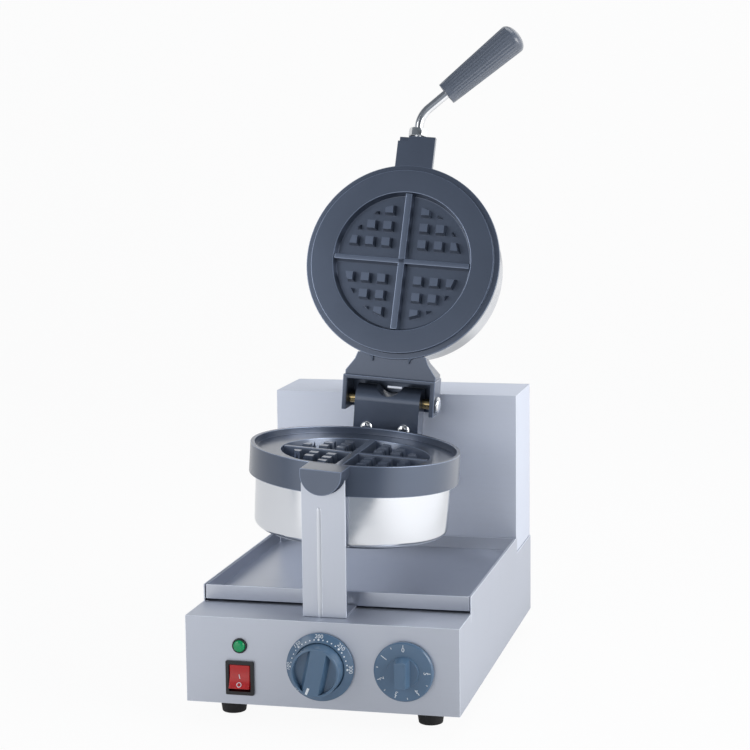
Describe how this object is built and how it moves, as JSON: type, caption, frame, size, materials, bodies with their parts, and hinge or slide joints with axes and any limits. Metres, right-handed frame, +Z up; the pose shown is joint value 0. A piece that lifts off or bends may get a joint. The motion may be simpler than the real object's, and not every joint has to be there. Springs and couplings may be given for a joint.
{
  "type": "rotary waffle baker",
  "caption": "Countertop round waffle baker: a hinged lid and rolling head on a shaft and front cradle, over a drip tray on a steel base with controls.",
  "frame": {"origin": "centre of the bounding box in plan, at the bottom of the rubber feet", "axes": "+Z up, -Y towards the control panel (front), +X to the right seen from the front"},
  "size_m": [0.25, 0.425, 0.6214],
  "materials": {
    "base_steel": "satin brushed sheet",
    "tray_steel": "brushed sheet",
    "support_steel": "brushed sheet",
    "polished_steel": "polished drum",
    "nonstick": "cast aluminium with dark non-stick coating",
    "zinc": "bright plated fasteners",
    "foot_rubber": "matt",
    "shaft_steel": "turned",
    "heater_steel": "heat darkened",
    "rod_chrome": "bright rod",
    "grip_plastic": "glossy black, fluted",
    "bush_brass": "turned",
    "knob_plastic": "slate blue-grey, satin",
    "white_plastic": "inner parts",
    "black_plastic": "moulded black",
    "rocker_red": "translucent red",
    "lamp_green": "green lens"
  },
  "bodies": {
    "base": {"base_housing": "base_steel", "bottom_plate": "base_steel", "back_box": "base_steel", "rear_panel": "base_steel", "front_support": "support_steel", "foot_screw_front_left": "zinc", "foot_screw_front_right": "zinc", "foot_screw_rear_left": "zinc", "foot_screw_rear_right": "zinc", "rear_panel_screw_1": "zinc", "rear_panel_screw_2": "zinc", "rear_panel_screw_3": "zinc", "rear_panel_screw_4": "zinc", "bearing_screw_1": "zinc", "bearing_screw_2": "zinc", "bearing_screw_3": "zinc", "support_bolt_left": "zinc", "support_bolt_right": "zinc", "support_nut_left": "zinc", "support_nut_right": "zinc", "earth_screw": "zinc", "foot_front_left": "foot_rubber", "foot_front_right": "foot_rubber", "foot_rear_left": "foot_rubber", "foot_rear_right": "foot_rubber", "bearing_housing": "shaft_steel", "thermostat_dial": "knob_plastic", "thermostat_body": "white_plastic", "timer_body": "white_plastic", "terminal_block": "white_plastic", "switch_bezel": "black_plastic", "lamp_bezel": "black_plastic", "cable_gland": "black_plastic", "lamp_lens": "lamp_green"},
    "tray": {"drip_tray": "tray_steel"},
    "rocker": {"switch_rocker": "rocker_red"},
    "thermostat": {"thermostat_knob": "knob_plastic"},
    "timer": {"timer_knob": "knob_plastic"},
    "head": {"lower_plate": "nonstick", "lower_pot": "polished_steel", "lower_pot_bolt": "zinc", "lower_heater": "heater_steel", "hinge_block": "nonstick", "lug_screw_left": "zinc", "lug_screw_right": "zinc", "neck_screw_left": "zinc", "neck_screw_right": "zinc", "rotary_shaft": "shaft_steel", "shaft_collar": "shaft_steel"},
    "lid": {"upper_plate": "nonstick", "upper_pot": "polished_steel", "upper_pot_bolt": "zinc", "upper_heater": "heater_steel", "hinge_bolt": "zinc", "bush_left": "bush_brass", "bush_right": "bush_brass", "handle_rod": "rod_chrome", "handle_nut": "zinc", "handle_grip": "grip_plastic"}
  },
  "joints": [
    {"name": "head_turn", "type": "hinge", "parent": "base", "child": "head", "pos_m": [0, -0.05375, 0.2303], "axis": [0, 1, 0], "range_deg": [-22, 14]},
    {"name": "lid_hinge", "type": "hinge", "parent": "head", "child": "lid", "pos_m": [0.00155, 0.0836, 0.25205], "axis": [0.9975, 0, -0.071], "range_deg": [0, 105.3]},
    {"name": "tray_lift", "type": "slide", "parent": "base", "child": "tray", "axis": [0, 0, 1], "range_m": [0, 0.02]},
    {"name": "power_switch", "type": "hinge", "parent": "base", "child": "rocker", "pos_m": [-0.0745, -0.1865, 0.0413], "axis": [1, 0, 0], "range_deg": [0, 24]},
    {"name": "thermostat_turn", "type": "hinge", "parent": "base", "child": "thermostat", "pos_m": [0, -0.19, 0.0558], "axis": [0, 1, 0], "range_deg": [0, 248]},
    {"name": "timer_turn", "type": "hinge", "parent": "base", "child": "timer", "pos_m": [0.0755, -0.19, 0.0559], "axis": [0, 1, 0], "range_deg": [0, 270]}
  ]
}
